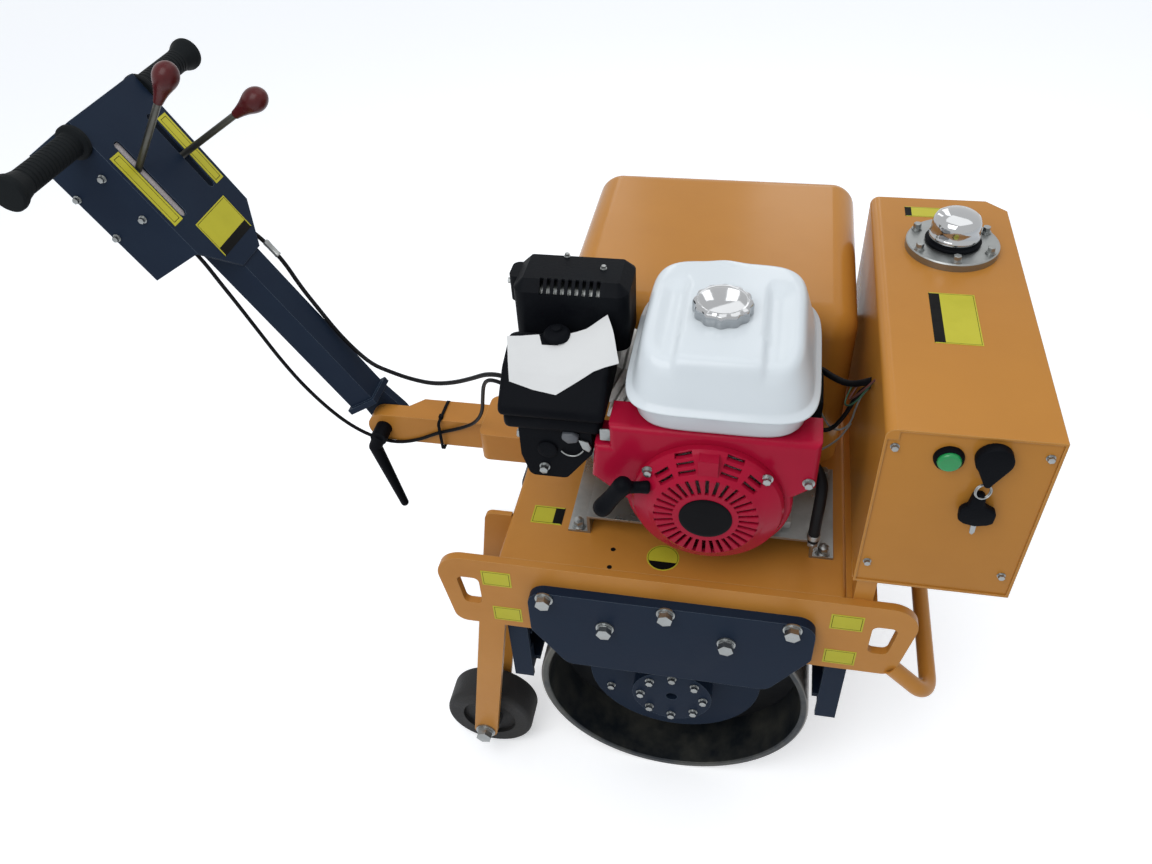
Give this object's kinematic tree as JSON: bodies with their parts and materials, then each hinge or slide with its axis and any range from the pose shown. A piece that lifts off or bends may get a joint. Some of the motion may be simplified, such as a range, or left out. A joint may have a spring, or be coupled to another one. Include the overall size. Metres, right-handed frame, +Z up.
{
  "type": "walk-behind single-drum road roller",
  "caption": "Pedestrian roller: a steel drum in a plate frame, with an open engine, a belt hood, a side oil tank and a folding handle with levers",
  "frame": {"origin": "on the ground, under the middle of the bounding box", "axes": "+X forward, away from the handle; +Y to the left, towards the belt hood; +Z up"},
  "size_m": [1.341, 0.6915, 1.1116],
  "materials": {
    "black_paint": "black paint, satin",
    "black_plastic": "moulded, fine grain",
    "cable_sheath": "black sheath, satin",
    "cast_alloy": "die cast, matt",
    "chrome": "polished",
    "crimson_paint": "crimson enamel, glossy",
    "deep_blue_paint": "dark blue-grey enamel, satin",
    "drum_steel": "bare steel, oily and worn",
    "grip_rubber": "moulded rubber, matt",
    "knob_red": "dark red moulded knob, glossy",
    "lamp_green": "green lens, glossy",
    "orange_paint": "ochre-orange enamel, satin, a little scuffed",
    "web_steel": "dark primer with oil",
    "wheel_rubber": "solid rubber, dusty",
    "white_paint": "white enamel, glossy",
    "zinc": "zinc plate, dull"
  },
  "bodies": {
    "frame": {"right_side_plate": "orange_paint", "left_side_plate": "orange_paint", "deck": "orange_paint", "front_rail": "orange_paint", "leg_fork_plates": "orange_paint", "wheel_axles": "zinc", "right_hanger": "deep_blue_paint", "left_hanger": "deep_blue_paint", "right_hub_carrier": "deep_blue_paint", "left_hub_carrier": "deep_blue_paint", "rear_scraper": "deep_blue_paint", "front_scraper": "deep_blue_paint", "bumper": "orange_paint", "drawbar_socket": "orange_paint", "drawbar": "orange_paint", "clamp_bolt": "zinc", "clamp_lever": "black_plastic", "engine_base": "zinc", "crankcase": "cast_alloy", "fan_shroud": "crimson_paint", "recoil_cover": "crimson_paint", "recoil_grip": "black_plastic", "fuel_tank": "white_paint", "fuel_cap": "chrome", "air_cleaner": "black_plastic", "carburettor_cover": "black_plastic", "muffler": "zinc", "muffler_guard": "black_paint", "hood": "orange_paint", "oil_tank": "orange_paint", "switch_panel": "orange_paint", "filler_flange": "zinc", "filler_cap": "chrome", "tank_cradle": "orange_paint", "signal_lamp": "lamp_green", "key_switch": "black_plastic", "upper_cable": "cable_sheath", "lower_cable": "cable_sheath"},
    "drum": {"drum_shell": "drum_steel", "drum_webs": "web_steel"},
    "handle": {"handle_arm": "deep_blue_paint", "console": "deep_blue_paint", "lever_shaft": "zinc", "control_levers": "chrome", "lever_knobs": "knob_red", "handlebar": "deep_blue_paint", "hand_grips": "grip_rubber"},
    "right_wheel": {"right_support_wheel": "wheel_rubber"},
    "left_wheel": {"left_support_wheel": "wheel_rubber"}
  },
  "joints": [
    {"name": "drum_spin", "type": "hinge", "parent": "frame", "child": "drum", "pos_m": [0.25697, 0.00225, 0.2125], "axis": [0, 1, 0], "continuous": true},
    {"name": "handle_fold", "type": "hinge", "parent": "frame", "child": "handle", "pos_m": [-0.27153, 0.00225, 0.483], "axis": [0, 1, 0], "range_deg": [-30, 30], "deforming": ["upper_cable", "lower_cable"]},
    {"name": "right_wheel_spin", "type": "hinge", "parent": "frame", "child": "right_wheel", "pos_m": [-0.05863, -0.27425, 0.075], "axis": [0, 1, 0], "continuous": true},
    {"name": "left_wheel_spin", "type": "hinge", "parent": "frame", "child": "left_wheel", "pos_m": [-0.05863, 0.27875, 0.075], "axis": [0, 1, 0], "continuous": true}
  ]
}
